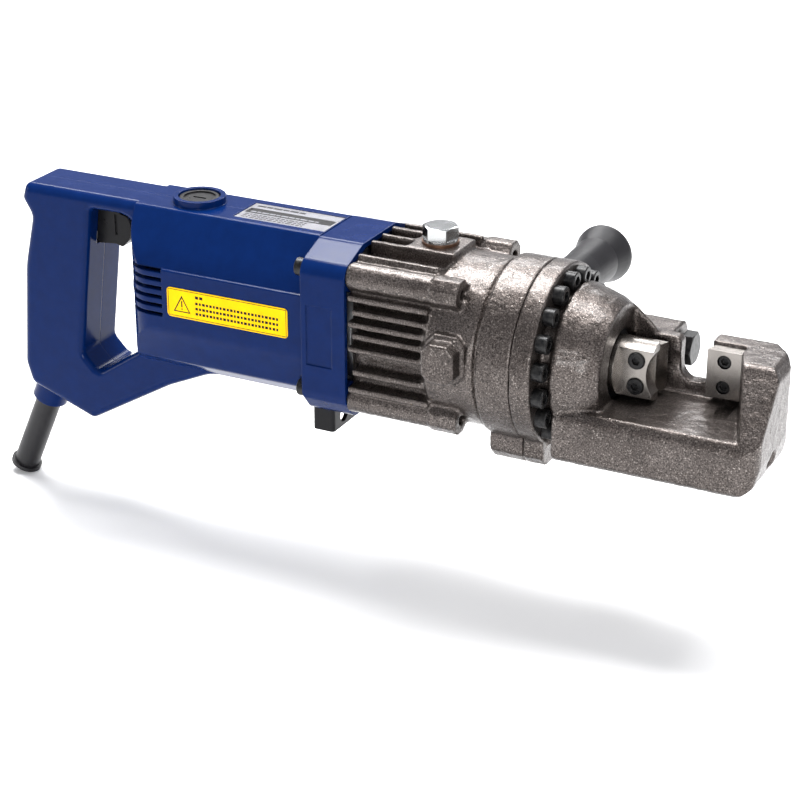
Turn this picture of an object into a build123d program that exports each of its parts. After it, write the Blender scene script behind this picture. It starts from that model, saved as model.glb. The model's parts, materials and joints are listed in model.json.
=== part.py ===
from build123d import *
import math
import os

os.makedirs("parts", exist_ok=True)

# Portable electro-hydraulic rebar cutter. Millimetres, +Z up, +X from the handle to the jaws.
# Stations are worked out from the joint face of the cutter head's flange, at x = 0 on the
# ram's axis, and save() moves every piece so that the origin is on the ram's axis at the
# face of the fixed blade.

# ---- Overall sizes -------------------------------------------------------------------------
HEAD_REACH = 73.6        # flange face to the face of the fixed blade
HEAD_FLANGE_T = 11.2
FLANGE_R = 48.4
CASE_LENGTH = 97.0       # cast pump case, along X
CASE_FLANGE_T = 18.8
CASE_GROOVE = (3.0, 1.8)  # width and depth of the groove behind the case's flange
COVER_LENGTH = 26.2      # front cover, along X
HOUSING_LENGTH = 116.0   # motor housing, along X
HANDLE_LENGTH = 79.0     # from the housing's rear to the back of the grip
HANDLE_TOP = 49.1
HANDLE_WIDTH = 36.6
BODY_WIDTH = 71.0        # motor housing, across
COVER_WIDTH = 82.0
BODY_BOTTOM = -46.0
WALL = 3.0               # plastic shells

X_CASE_FRONT = -HEAD_FLANGE_T
X_CASE_REAR = X_CASE_FRONT - CASE_LENGTH
X_COVER_REAR = X_CASE_REAR - COVER_LENGTH
X_HOUSING_REAR = X_COVER_REAR - HOUSING_LENGTH
X_HANDLE_REAR = X_HOUSING_REAR - HANDLE_LENGTH

# ---- Ram, jaws and head --------------------------------------------------------------------
STROKE = 21.5
RAM_R = 15.6
RUNNING_FIT = 0.05       # radial, on every sliding or turning fit
JAW_WALL_X = 31.0        # pocket wall that the ram comes out of
RAM_FRONT = 51.0
RAM_FLAT_Y = -8.6
SHEAR_PLANE_Y = 9.15
BLADE_T = 8.0
BLADE_HALF_H = 12.9
BLADE_GAP = 0.05         # between the two blades, each side of the shear plane
MOVING_BLADE_X = (33.6, 52.7)
FIXED_BLADE_LENGTH = 18.2
BLADE_SCREW_Z = 7.0
BLADE_SCREW_R = 2.5
PLATE_Y = 14.5           # near face of the back plate
HEAD_FAR_Y = 32.0
HEAD_NEAR_Y = -36.6
HEAD_TOP = 14.6
FLOOR_Z = -16.1
FLOOR_NEAR_Y = -33.0     # near edge of the jaw's floor
SLOPE_TOP_Y = -4.0       # where the end wall's slope meets its top
SPINE_BOTTOM = -45.2
HEAD_END = 117.0
END_WALL_SLANT = 0.34    # how far the end wall's inner face leans back, per mm towards -Y
END_THREAD_R = 3.4       # tapped hole in the head's end, tapping size of M8
END_THREAD_FACE_X = HEAD_END - 3.0
END_THREAD_MOUTH_R = 4.2
END_THREAD_DEPTH = 14.0
END_THREAD_Y = -8.0
END_THREAD_Z = -34.0
NOTCH_BOTTOM = -9.4
NOTCH_R = 8.5
NECK_LENGTH = 7.0
NECK_R = 36.2
STOPPER_Y = 36.0
STOPPER_Z = 0.0
STOPPER_FACE_X = 58.2    # rest position of the bolt's face
STOPPER_HEAD_T = 6.4
PLATE_T = 7.8            # back plate, beside the notch
STOPPER_R = 5.0          # M10
STOPPER_TRAVEL = 8.0
PLATE_EDGE_X = 57.5
HEX_AF = 16.0

SCREW_COUNT = 18
SCREW_CIRCLE_R = 41.5
SCREW_PHASE = 12.6
M6_R = 3.0
M6_HEAD_R = 4.9
M6_HEAD_H = 6.0
THREAD_GAP = 0.02        # drawn clearance between a thread and its hole

# ---- Hydraulic side ------------------------------------------------------------------------
PISTON_R = 24.0
PISTON_T = 13.0
BORE_DEPTH = 36.0        # cylinder bore, from the case's front face
PISTON_REAR = X_CASE_FRONT - BORE_DEPTH + 1.0
SPRING_SEAT_X = 14.0
SPRING_POCKET_R = 22.6
SPRING_WIRE_R = 1.6
SPRING_COILS = 6.0
SEAL_T = 4.0
BARREL_R = 45.4
FIN_FRONT_X = -60.0      # where the finned part ends
CORE_HALF_W = 32.0
CORE_TOP = 40.0
CORE_BOTTOM = -40.0
FIN_TIP_Y = 40.8
FIN_T = 3.2
FIN_TOPS = (27.5, 19.8, 13.0, 6.5, -1.2, -14.0, -24.2)
TOP_FINS_Y = (-27.0, -12.0, 0.0, 12.0, 27.0)
CASE_TOP = 48.6
CASE_BOTTOM = BODY_BOTTOM + 1
TUBE_Y = 32.5
TUBE_Z = (35.5, -33.5)
TUBE_R = 7.6
TUBE_END_X = -44.0
PAD_TOP = 49.2
PLUG_X = -72.5
PLUG_AF = 17.0
PLUG_R = 7.0
PLUG_HEAD_H = 8.2
PLUG_COLLAR_R = 9.4
WASHER_T = 1.6
SIDE_BOSS = (-47.5, 5.2)  # x, z of the blind boss on the near side
SIDE_BOSS_Y = -56.4
HANDLE_X = -38.0         # side handle's axis
HANDLE_BASE_Y = 52.0
HANDLE_TIP_Y = 151.0
HANDLE_R = 13.6
HANDLE_RIM_R = 17.2
HANDLE_STUD_R = 6.0

# ---- Pump and gears ------------------------------------------------------------------------
MODULE = 0.9
PINION_TEETH = 10
GEAR_TEETH = 34
PRESSURE_ANGLE = 20.0
CENTRE_DISTANCE = MODULE * (PINION_TEETH + GEAR_TEETH) / 2
GEAR_WIDTH = 10.0
GEAR_X = X_CASE_REAR - 15.0
ECCENTRIC = 2.0
ECCENTRIC_R = 7.2
ECCENTRIC_BEARING_R = 11.5
ECCENTRIC_X = X_CASE_REAR + 22.0
ECCENTRIC_WIDTH = 12.0
PLUNGER_R = 4.0
GEAR_SHAFT_R = 5.0
GEAR_BEARING_R = 11.0
FRONT_BEARING_R = 9.5
ECCENTRIC_SWEEP_R = ECCENTRIC + ECCENTRIC_BEARING_R + 0.7
BEARING_WIDTH = 9.0
CHAMBER_R = 29.0         # oil chamber, inside the finned part
CHAMBER_FRONT_X = -58.0
BEARING_PLATE_X = (X_CASE_REAR - 8.0, X_CASE_REAR + 2.0)
PUMP_BLOCK_X = (ECCENTRIC_X - 13.0, ECCENTRIC_X + 13.0)
PLUNGER_REST_Z = -CENTRE_DISTANCE + ECCENTRIC + ECCENTRIC_BEARING_R + 0.15
PUMP_BLOCK_Z = (PLUNGER_REST_Z + 5.0, CHAMBER_R - 7.0)

# ---- Motor ---------------------------------------------------------------------------------
SHAFT_R = 4.0
STATOR_R = BODY_WIDTH / 2 - 5.5
STATOR_BORE_R = STATOR_R - 9.8
CORE_R = STATOR_BORE_R - 0.6
CORE_LENGTH = 42.0
COMMUTATOR_R = 11.0
COMMUTATOR_LENGTH = 14.0
BRUSH_X = X_HOUSING_REAR + 30.5
FAN_R = STATOR_R - 3.0
FAN_T = 9.0
MOTOR_BEARING_R = 11.0
MOTOR_BEARING_W = 7.0
CAP_R = 12.0
CAP_BOSS_R = 14.6
CAP_TOP = 53.0
MOTOR_PLATE_X = (X_COVER_REAR - 2.0, X_COVER_REAR + 5.0)
FAN_X = MOTOR_PLATE_X[0] - 3.0 - FAN_T
CORE_X1 = FAN_X - 11.0
CORE_X0 = CORE_X1 - CORE_LENGTH
REAR_BEARING_X = BRUSH_X - COMMUTATOR_LENGTH / 2 - 6.0 - MOTOR_BEARING_W

# ---- Housing, cover and foot ---------------------------------------------------------------
HOUSING_FRONT = X_COVER_REAR
HALF_RADII = [6, 8, 14, 0.6, 0.6, 30, 2.4]         # corners of one side of the housing's section
HOUSING_RADII = HALF_RADII + HALF_RADII[::-1]
COVER_RADII = [9, 9, 6, 10, 10, 6, 9, 9]
COVER_RADII_INNER = [7, 7, 4, 8, 8, 4, 7, 7]
M4_R = 2.0
M4_HEAD_R = 3.7
BOSS_R = 4.6             # bosses for the housing's screws
HANDLE_SCREW_SEAT = 13.0
VENTS = 6
VENT_PITCH = 5.1
VENT_Z = -7.5
FOOT_X = (X_COVER_REAR - 1.5, X_COVER_REAR + 11.5)
FOOT_BOTTOM = -60.0
FOOT_HALF = 27.0

# ---- Handle --------------------------------------------------------------------------------
HANDLE_RADII = [4, 0, 0, 30, 30, 5, 6, 12, 60, 8, 4]
GAP_RADII = [3, 12, 2, 5, 6]
HANDLE_ROUND = 5.0       # the handle's outer edges
GAP_ROUND = 3.4          # edges of the finger gap
SWITCH_FRONT = X_HOUSING_REAR - 42.0
TRIGGER_TRAVEL = 6.0
TRIGGER_WIDTH = 16.0
DROP = -90.0             # lowest corner of the handle
SLEEVE_TILT = 24.0       # strain relief, from the vertical
SLEEVE_LENGTH = 54.0
SLEEVE_R = 7.6
SOCKET_DEPTH = 24.0      # how far the strain relief goes into the handle
CORD_BORE_R = 4.0


# ---- Building helpers ----------------------------------------------------------------------
def rod_x(x0, x1, radius, y=0.0, z=0.0):
    return Pos((x0 + x1) / 2, y, z) * Rot(0, 90, 0) * Cylinder(radius, abs(x1 - x0))


def rod_y(y0, y1, radius, x, z):
    return Pos(x, (y0 + y1) / 2, z) * Rot(90, 0, 0) * Cylinder(radius, abs(y1 - y0))


def rod_z(z0, z1, radius, x, y):
    return Pos(x, y, (z0 + z1) / 2) * Cylinder(radius, abs(z1 - z0))


def ring_x(x0, x1, outer, inner, y=0.0, z=0.0):
    return rod_x(x0, x1, outer, y, z) - rod_x(x0 - 1, x1 + 1, inner, y, z)


def block(x0, x1, y0, y1, z0, z1):
    return Pos((x0 + x1) / 2, (y0 + y1) / 2, (z0 + z1) / 2) * Box(x1 - x0, y1 - y0, z1 - z0)


def rounded_face(points, radii):
    """Closed outline through 2-D points, each corner rounded by its own radius."""
    face = make_face(Polyline(*points, close=True))
    for radius in sorted(set(radii)):
        if radius <= 0:
            continue
        chosen = []
        for corner in face.vertices():
            spot = min(range(len(points)), key=lambda i: math.dist((corner.X, corner.Y), points[i]))
            if radii[spot] == radius and math.dist((corner.X, corner.Y), points[spot]) < 1e-6:
                chosen.append(corner)
        face = fillet(chosen, radius)
    return face


def prism_x(points, x0, x1, radii=None):
    """points are (y, z)."""
    face = rounded_face(points, radii or [0] * len(points))
    plane = Plane(origin=(x0, 0, 0), x_dir=(0, 1, 0), z_dir=(1, 0, 0))
    return extrude(plane * face, x1 - x0, dir=(1, 0, 0))


def prism_y(points, y0, y1, radii=None):
    """points are (x, z)."""
    face = rounded_face(points, radii or [0] * len(points))
    plane = Plane(origin=(0, y0, 0), x_dir=(1, 0, 0), z_dir=(0, -1, 0))
    return extrude(plane * face, y1 - y0, dir=(0, 1, 0))


def prism_z(points, z0, z1, radii=None):
    """points are (x, y)."""
    face = rounded_face(points, radii or [0] * len(points))
    return extrude(Pos(0, 0, z0) * face, z1 - z0, dir=(0, 0, 1))


def turned_x(profile, y=0.0, z=0.0):
    """A solid of revolution about X; profile is (x, radius)."""
    face = make_face(Plane.XZ * Polyline(*profile, close=True))
    return Pos(0, y, z) * revolve(face, Axis.X)


def turned_z(profile, x=0.0, y=0.0):
    """A solid of revolution about Z; profile is (radius, z)."""
    face = make_face(Plane.XZ * Polyline(*profile, close=True))
    return Pos(x, y, 0) * revolve(face, Axis.Z)


def turned_y(profile, x=0.0, z=0.0):
    """A solid of revolution about Y; profile is (radius, y)."""
    face = make_face(Polyline(*profile, close=True))
    return Pos(x, 0, z) * revolve(face, Axis.Y)


def hex_x(x0, x1, across_flats, y, z, turn=0.0):
    face = RegularPolygon(across_flats / 2, 6, major_radius=False, rotation=turn)
    plane = Plane(origin=(x0, y, z), x_dir=(0, 1, 0), z_dir=(1, 0, 0))
    return extrude(plane * face, x1 - x0, dir=(1, 0, 0))


def socket_screw_x(x_seat, x_tip, y, z, head_r=M6_HEAD_R, head_h=M6_HEAD_H, shank_r=M6_R):
    """Hex-socket screw along X: its head stands on x_seat and its shank ends at x_tip."""
    out = 1 if x_seat > x_tip else -1
    screw = rod_x(x_seat, x_seat + out * head_h, head_r, y, z) + rod_x(x_tip, x_seat, shank_r, y, z)
    edges = screw.edges().filter_by(GeomType.CIRCLE).sort_by(Axis.X)
    screw = chamfer(edges[-1] if out > 0 else edges[0], 0.5)
    deep = x_seat + out * (head_h - 3)
    top = x_seat + out * (head_h + 1)
    return screw - hex_x(min(deep, top), max(deep, top), shank_r * 1.66, y, z)


def group(*shapes):
    solids = []
    for shape in shapes:
        solids += list(shape.solids())
    return Compound(solids)


def save(name, shape):
    export_step(Pos(-HEAD_REACH, 0, 0) * shape, f"parts/{name}.step")
    print(name, len(shape.solids()), round(shape.volume))


# ---- Cutter head ---------------------------------------------------------------------------
def screw_angles():
    return [math.radians(SCREW_PHASE + i * 360 / SCREW_COUNT) for i in range(SCREW_COUNT)]


def screw_places():
    return [(SCREW_CIRCLE_R * math.cos(a), SCREW_CIRCLE_R * math.sin(a)) for a in screw_angles()]


def flange_foot(x0, x1):
    """Squared pad under a flange, wider than the barrel."""
    points = [(-27, -36), (-27, -50), (-21, -56), (21, -56), (27, -50), (27, -36)]
    return prism_x(points, x0, x1, [0, 3, 3, 3, 3, 0])


def head_blank():
    """Spine, end wall and its slope: a side outline cut by a cross-section and a plan."""
    near, far = HEAD_NEAR_Y, HEAD_FAR_Y
    start = NECK_LENGTH + 1
    end = HEAD_END
    side = [(start, SPINE_BOTTOM), (end - 10, SPINE_BOTTOM), (end - 2, -38.5), (end, -28),
            (end, HEAD_TOP - 6), (end - 4, HEAD_TOP), (HEAD_REACH, HEAD_TOP), (HEAD_REACH, FLOOR_Z),
            (start, FLOOR_Z)]
    profile = prism_y(side, near, far, [2, 8, 5, 8, 4, 2.5, 0, 0, 2])
    slope = (HEAD_TOP - FLOOR_Z) / (SLOPE_TOP_Y - FLOOR_NEAR_Y)
    slope_foot = FLOOR_Z - slope * (FLOOR_NEAR_Y - near)
    section = [(near, -42), (near + 3, SPINE_BOTTOM), (far - 6, SPINE_BOTTOM), (far, -40),
               (far, HEAD_TOP - 4), (far - 4, HEAD_TOP), (SLOPE_TOP_Y, HEAD_TOP), (near, slope_foot)]
    across = prism_x(section, start, end, [2, 2, 3, 3, 2, 2, 5, 8])
    plan = prism_z([(start, near), (end, near), (end, far - 19), (end - 15, far), (start, far)],
                   SPINE_BOTTOM - 1, HEAD_TOP + 1, [0, 9, 7, 7, 0])
    return (profile & across & plan) - blade_seat()


def blade_seat():
    """Room for the fixed blade, open towards -Y along the slanted inner face of the end wall."""
    back = HEAD_REACH + FIXED_BLADE_LENGTH
    open_y = HEAD_NEAR_Y - 1
    seat_y = SHEAR_PLANE_Y + BLADE_GAP + BLADE_T
    open_x = back + END_WALL_SLANT * (SHEAR_PLANE_Y - open_y)
    outline = [(HEAD_REACH - 1, open_y), (open_x, open_y), (back, SHEAR_PLANE_Y), (back, seat_y),
               (HEAD_REACH - 1, seat_y)]
    seat = prism_z(outline, -BLADE_HALF_H, HEAD_TOP + 1)
    below = [(HEAD_REACH - 1, open_y), (open_x, open_y), (back, SHEAR_PLANE_Y), (back, PLATE_Y),
             (HEAD_REACH - 1, PLATE_Y)]
    return seat + prism_z(below, FLOOR_Z, -BLADE_HALF_H + 0.01)


def back_plate():
    """Plate on the far side of the jaws, with the notch that the bar passes through."""
    edge = PLATE_EDGE_X
    top = HEAD_TOP - 0.6
    points = [(24, FLOOR_Z - 2), (24, top), (edge, top), (edge, NOTCH_BOTTOM),
              (HEAD_REACH - 5, NOTCH_BOTTOM), (HEAD_REACH + 1, -6.5), (HEAD_REACH + 1, FLOOR_Z - 2)]
    plate = prism_y(points, PLATE_Y, PLATE_Y + PLATE_T, [0, 0, 3, NOTCH_R, 3, 0, 0])
    keel = block(24, HEAD_REACH + 1, PLATE_Y + PLATE_T - 1, HEAD_FAR_Y, FLOOR_Z - 2, FLOOR_Z + 3)
    lug_x = STOPPER_FACE_X - STOPPER_HEAD_T - 1.3
    lug = block(26, lug_x, PLATE_Y + PLATE_T - 1, STOPPER_Y + 10, -13, 13)
    along = [e for e in lug.edges() if abs(e.bounding_box().size.X) > 5 and e.center().Y > STOPPER_Y]
    return plate + keel + fillet(along, 8)


def dome():
    profile = [(NECK_LENGTH, 0), (NECK_LENGTH, 39.3), (9.0, 39.6), (14.5, 37.8), (20.5, 36.4),
               (26.3, 34.2), (31.0, 31.6), (36.0, 28.4), (41.0, 25.0), (45.0, 21.6), (45.0, 0)]
    return turned_x(profile)


def cutter_head():
    body = rod_x(X_CASE_FRONT, 0, FLANGE_R) + flange_foot(X_CASE_FRONT, 0)
    body += rod_x(0, NECK_LENGTH, NECK_R)
    body += dome()
    body += block(0, NECK_LENGTH + 1.5, -21, 21, SPINE_BOTTOM + 2, -20)
    open_side = block(JAW_WALL_X, 60, -60, PLATE_Y, FLOOR_Z, 60)
    body += head_blank()
    body += back_plate()
    body -= open_side
    body -= block(44, 60, PLATE_Y - 1, 60, HEAD_TOP - 0.6, 60)
    body -= rod_x(X_CASE_FRONT - 1, 60, RAM_R + RUNNING_FIT)
    body -= rod_x(X_CASE_FRONT - 1, SPRING_SEAT_X, SPRING_POCKET_R)
    body -= rod_x(JAW_WALL_X - 2.5, JAW_WALL_X + 1, RAM_R + 3.2)
    wiper_back = JAW_WALL_X - 2.5 - SEAL_T
    body -= rod_x(wiper_back, JAW_WALL_X, RAM_R + 2.6)
    for y, z in screw_places():
        body -= rod_x(X_CASE_FRONT - 1, 0.5, M6_R + 0.3, y, z)
        body -= rod_x(0, M6_HEAD_H + 0.9, M6_HEAD_R + 0.5, y, z)
    body -= rod_x(STOPPER_FACE_X - 32, STOPPER_FACE_X, STOPPER_R + RUNNING_FIT, STOPPER_Y, STOPPER_Z)
    for x, z in fixed_blade_holes():
        body -= rod_y(PLATE_Y, HEAD_FAR_Y - 2, BLADE_SCREW_R + THREAD_GAP, x, z)
    body -= rod_y(-8, PLATE_Y + 7, 4.2, HEAD_REACH + FIXED_BLADE_LENGTH - 5.5, FLOOR_Z + 1.5)
    face = END_THREAD_FACE_X
    sink = END_THREAD_MOUTH_R - END_THREAD_R
    body -= rod_x(face, HEAD_END + 1, END_THREAD_MOUTH_R + 1.8, END_THREAD_Y, END_THREAD_Z)
    body -= rod_x(face - END_THREAD_DEPTH, face + 1, END_THREAD_R, END_THREAD_Y, END_THREAD_Z)
    mouth = [(face - sink, 0), (face - sink, END_THREAD_R), (face + 0.1, END_THREAD_MOUTH_R + 0.1),
             (face + 0.1, 0)]
    return body - turned_x(mouth, END_THREAD_Y, END_THREAD_Z)


def fixed_blade_holes():
    x = HEAD_REACH + FIXED_BLADE_LENGTH / 2
    return [(x, BLADE_SCREW_Z), (x, -BLADE_SCREW_Z)]


def flange_screws():
    tip = X_CASE_FRONT - CASE_FLANGE_T + 4
    return group(*[socket_screw_x(0, tip, y, z) for y, z in screw_places()])


# ---- Ram and blades ------------------------------------------------------------------------
def ram():
    piston_front = PISTON_REAR + PISTON_T
    body = rod_x(PISTON_REAR, piston_front, PISTON_R - RUNNING_FIT)
    body += rod_x(piston_front, RAM_FRONT, RAM_R)
    groove = PISTON_REAR + PISTON_T / 2
    body -= ring_x(groove - SEAL_T / 2, groove + SEAL_T / 2, PISTON_R + 1, PISTON_R - 4)
    seat_x = MOVING_BLADE_X[0]
    body -= block(seat_x, RAM_FRONT + 1, SHEAR_PLANE_Y - BLADE_GAP - BLADE_T, 30, -30, 30)
    body -= block(seat_x - 1.5, RAM_FRONT + 1, -30, RAM_FLAT_Y, -30, 30)
    body -= rod_y(-30, 30, 20.0, RAM_FRONT + 16.6, 0)
    for x, z in moving_blade_holes():
        body -= rod_y(-30, 30, BLADE_SCREW_R + 0.2, x, z)
        body -= rod_y(-30, RAM_FLAT_Y + 3.2, 4.6, x, z)
    return body


def moving_blade_holes():
    x = MOVING_BLADE_X[0] + 8.6
    return [(x, BLADE_SCREW_Z), (x, -BLADE_SCREW_Z)]


def moving_blade():
    y1 = SHEAR_PLANE_Y - BLADE_GAP
    y0 = y1 - BLADE_T
    x0, x1 = MOVING_BLADE_X
    outline = [(x0, y0), (x1 - 3.4, y0), (x1, y1), (x0, y1)]
    body = prism_z(outline, -BLADE_HALF_H, BLADE_HALF_H)
    for x, z in moving_blade_holes():
        body -= rod_y(y0 - 1, y1 - 1.5, BLADE_SCREW_R + THREAD_GAP, x, z)
    return body


def blade_screw(x, z, y_head, y_tip, head_r, head_h):
    """Hex-socket screw along Y, with its head at the lower y."""
    screw = rod_y(y_head, y_head + head_h, head_r, x, z)
    screw += rod_y(y_head + head_h, y_tip, BLADE_SCREW_R, x, z)
    edge = screw.edges().filter_by(GeomType.CIRCLE).sort_by(Axis.Y)[0]
    screw = chamfer(edge, 0.4)
    socket = Plane(origin=(x, y_head - 1, z), x_dir=(1, 0, 0), z_dir=(0, -1, 0))
    hexagon = RegularPolygon(2.0, 6, major_radius=False)
    return screw - extrude(socket * hexagon, -3.6)


def moving_blade_screws():
    y_seat = RAM_FLAT_Y + 3.2
    tip = SHEAR_PLANE_Y - BLADE_GAP - 2.0
    return group(*[blade_screw(x, z, y_seat - 4.6, tip, 4.4, 4.6) for x, z in moving_blade_holes()])


def fixed_blade():
    x0 = HEAD_REACH
    x1 = x0 + FIXED_BLADE_LENGTH - 0.05
    y0 = SHEAR_PLANE_Y + BLADE_GAP
    y1 = y0 + BLADE_T
    body = prism_z([(x0, y0), (x1, y0), (x1, y1), (x0 + 2.2, y1)], -BLADE_HALF_H + 0.02, BLADE_HALF_H)
    for x, z in fixed_blade_holes():
        body -= rod_y(y0 - 1, y1 + 1, BLADE_SCREW_R + 0.2, x, z)
        body -= rod_y(y0 - 1, y0 + 4.6, 3.7, x, z)
    return body


def fixed_blade_screws():
    y0 = SHEAR_PLANE_Y + BLADE_GAP
    return group(*[blade_screw(x, z, y0 + 0.9, HEAD_FAR_Y - 6, 3.5, 3.7) for x, z in fixed_blade_holes()])


def stopper_bolt():
    face = STOPPER_FACE_X
    seat = face - STOPPER_HEAD_T
    body = hex_x(seat, face, HEX_AF, STOPPER_Y, STOPPER_Z)
    cone = turned_x([(seat - 1, 0), (seat - 1, 12), (face - 1.5, 12), (face + 0.1, 7.6), (face + 0.1, 0)],
                    STOPPER_Y, STOPPER_Z)
    body = body & cone
    return body + rod_x(seat - 22, seat, STOPPER_R, STOPPER_Y, STOPPER_Z)


# ---- Seals and spring ----------------------------------------------------------------------
def piston_seal():
    groove = PISTON_REAR + PISTON_T / 2
    return ring_x(groove - SEAL_T / 2 + 0.1, groove + SEAL_T / 2 - 0.1, PISTON_R - 0.02, PISTON_R - 3.9)


def rod_wiper():
    front = JAW_WALL_X - 2.5
    return ring_x(front - SEAL_T + 0.05, front - 0.05, RAM_R + 2.55, RAM_R + 0.04)


def head_seal():
    radius = PISTON_R + 4.2
    return ring_x(X_CASE_FRONT - 1.6, X_CASE_FRONT - 0.02, radius + 1.2, radius - 1.2)


def return_spring():
    x0 = PISTON_REAR + PISTON_T + SPRING_WIRE_R + 0.4
    x1 = SPRING_SEAT_X - SPRING_WIRE_R - 0.3
    radius = (RAM_R + SPRING_POCKET_R) / 2
    pitch = (x1 - x0) / SPRING_COILS
    path = Helix(pitch, x1 - x0, radius)
    wire = Plane(origin=path @ 0, z_dir=path % 0) * Circle(SPRING_WIRE_R)
    coil = sweep(wire, path, is_frenet=True)
    return Pos(x0, 0, 0) * Rot(0, 90, 0) * coil


# ---- Pump case -----------------------------------------------------------------------------
def octagon_x(x0, x1, across, y, z):
    face = RegularPolygon(across / 2, 8, major_radius=False, rotation=22.5)
    plane = Plane(origin=(x0, y, z), x_dir=(0, 1, 0), z_dir=(1, 0, 0))
    return extrude(plane * face, x1 - x0, dir=(1, 0, 0))


def case_tubes():
    """The four tubes that the long case screws run into, with their eight-sided ends."""
    tubes = []
    for y in (-TUBE_Y, TUBE_Y):
        for z in TUBE_Z:
            tubes.append(rod_x(X_CASE_REAR, FIN_FRONT_X + 2, TUBE_R, y, z))
            tubes.append(octagon_x(FIN_FRONT_X + 0.5, TUBE_END_X, 2 * TUBE_R + 0.8, y, z))
    return tubes


def case_fins():
    fins = []
    for i, top in enumerate(FIN_TOPS):
        rear = X_CASE_REAR + (1.5 if i % 2 == 0 else 4.0)
        for side in (-1, 1):
            y0, y1 = sorted((side * (CORE_HALF_W - 4), side * FIN_TIP_Y))
            fins.append(block(rear, FIN_FRONT_X - (i % 3), y0, y1, top - FIN_T, top))
    for y in TOP_FINS_Y:
        tip = CASE_TOP - (2.6 if abs(y) > 20 else 0)
        fins.append(block(X_CASE_REAR + 1.5, FIN_FRONT_X, y - FIN_T / 2, y + FIN_T / 2, 30, tip))
    for y in (-20, -10, 0, 10, 20):
        fins.append(block(X_CASE_REAR + 1.5, FIN_FRONT_X, y - FIN_T / 2, y + FIN_T / 2, CASE_BOTTOM, -30))
    return fins


def side_boss():
    """Blind eight-sided boss on the near side of the barrel."""
    x, z = SIDE_BOSS
    w, h, cut = 9.2, 10.6, 4.2
    outline = [(x - w, z - h + cut), (x - w + cut, z - h), (x + w - cut, z - h), (x + w, z - h + cut),
               (x + w, z + h - cut), (x + w - cut, z + h), (x - w + cut, z + h), (x - w, z + h - cut)]
    boss = prism_y(outline, SIDE_BOSS_Y, -30)
    skirt_outline = [(x + (px - x) * 1.22, z + (pz - z) * 1.22) for px, pz in outline]
    return boss + prism_y(skirt_outline, -47.5, -30)


def pump_case():
    core = [(-CORE_HALF_W, CORE_BOTTOM + 8), (-CORE_HALF_W + 8, CORE_BOTTOM), (CORE_HALF_W - 8, CORE_BOTTOM),
            (CORE_HALF_W, CORE_BOTTOM + 8), (CORE_HALF_W, CORE_TOP - 8), (CORE_HALF_W - 8, CORE_TOP),
            (-CORE_HALF_W + 8, CORE_TOP), (-CORE_HALF_W, CORE_TOP - 8)]
    body = prism_x(core, X_CASE_REAR, FIN_FRONT_X + 4, [3] * 8)
    body += rod_x(FIN_FRONT_X, X_CASE_FRONT - CASE_FLANGE_T + 1, BARREL_R)
    body += turned_x([(FIN_FRONT_X - 5, 0), (FIN_FRONT_X - 5, BARREL_R - 6), (FIN_FRONT_X, BARREL_R),
                      (FIN_FRONT_X + 1, BARREL_R), (FIN_FRONT_X + 1, 0)])
    flange_rear = X_CASE_FRONT - CASE_FLANGE_T
    body -= ring_x(flange_rear - CASE_GROOVE[0], flange_rear, BARREL_R + 5, BARREL_R - CASE_GROOVE[1])
    body += rod_x(flange_rear, X_CASE_FRONT, FLANGE_R)
    body += flange_foot(flange_rear, X_CASE_FRONT)
    for piece in case_tubes() + case_fins():
        body += piece
    pad_half = 13.5
    body += block(PLUG_X - 14, FIN_FRONT_X + 2, -pad_half, pad_half, 30, PAD_TOP)
    body += side_boss()
    body += rod_y(30, HANDLE_BASE_Y, HANDLE_RIM_R, HANDLE_X, 0)
    # cylinder bore, oil chamber and the passage between them
    body -= rod_x(X_CASE_FRONT - BORE_DEPTH, X_CASE_FRONT + 1, PISTON_R)
    seal_r = PISTON_R + 4.2
    body -= ring_x(X_CASE_FRONT - 1.65, X_CASE_FRONT + 1, seal_r + 1.25, seal_r - 1.25)
    body -= rod_x(X_CASE_REAR - 1, CHAMBER_FRONT_X, CHAMBER_R)
    body -= rod_x(CHAMBER_FRONT_X - 1, X_CASE_FRONT - BORE_DEPTH + 1, 2.0, 0, 16)
    body -= rod_x(CHAMBER_FRONT_X - 1, X_CASE_FRONT - BORE_DEPTH + 1, 2.0, -18, 0)
    front_seat = ECCENTRIC_X + ECCENTRIC_WIDTH / 2 + 1.5
    body -= rod_x(X_CASE_REAR - 1, front_seat - 0.1, ECCENTRIC_SWEEP_R, 0, -CENTRE_DISTANCE)
    body += rod_x(front_seat, CHAMBER_FRONT_X + 0.5, FRONT_BEARING_R + 3, 0, -CENTRE_DISTANCE)
    body -= rod_x(front_seat - 1, front_seat + 6, FRONT_BEARING_R, 0, -CENTRE_DISTANCE)
    body -= rod_x(front_seat, front_seat + 9, GEAR_SHAFT_R + 1, 0, -CENTRE_DISTANCE)
    body -= rod_z(CHAMBER_R - 3, PAD_TOP + 1, PLUG_R + THREAD_GAP, PLUG_X, 0)
    body -= rod_y(HANDLE_BASE_Y - 20, HANDLE_BASE_Y + 1, HANDLE_STUD_R + THREAD_GAP, HANDLE_X, 0)
    for y, z in screw_places():
        body -= rod_x(X_CASE_FRONT - CASE_FLANGE_T + 3, X_CASE_FRONT + 1, M6_R + THREAD_GAP, y, z)
    for y in (-TUBE_Y, TUBE_Y):
        for z in TUBE_Z:
            body -= rod_x(X_CASE_REAR - 1, TUBE_END_X + 1, M6_R + THREAD_GAP, y, z)
    return body


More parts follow.
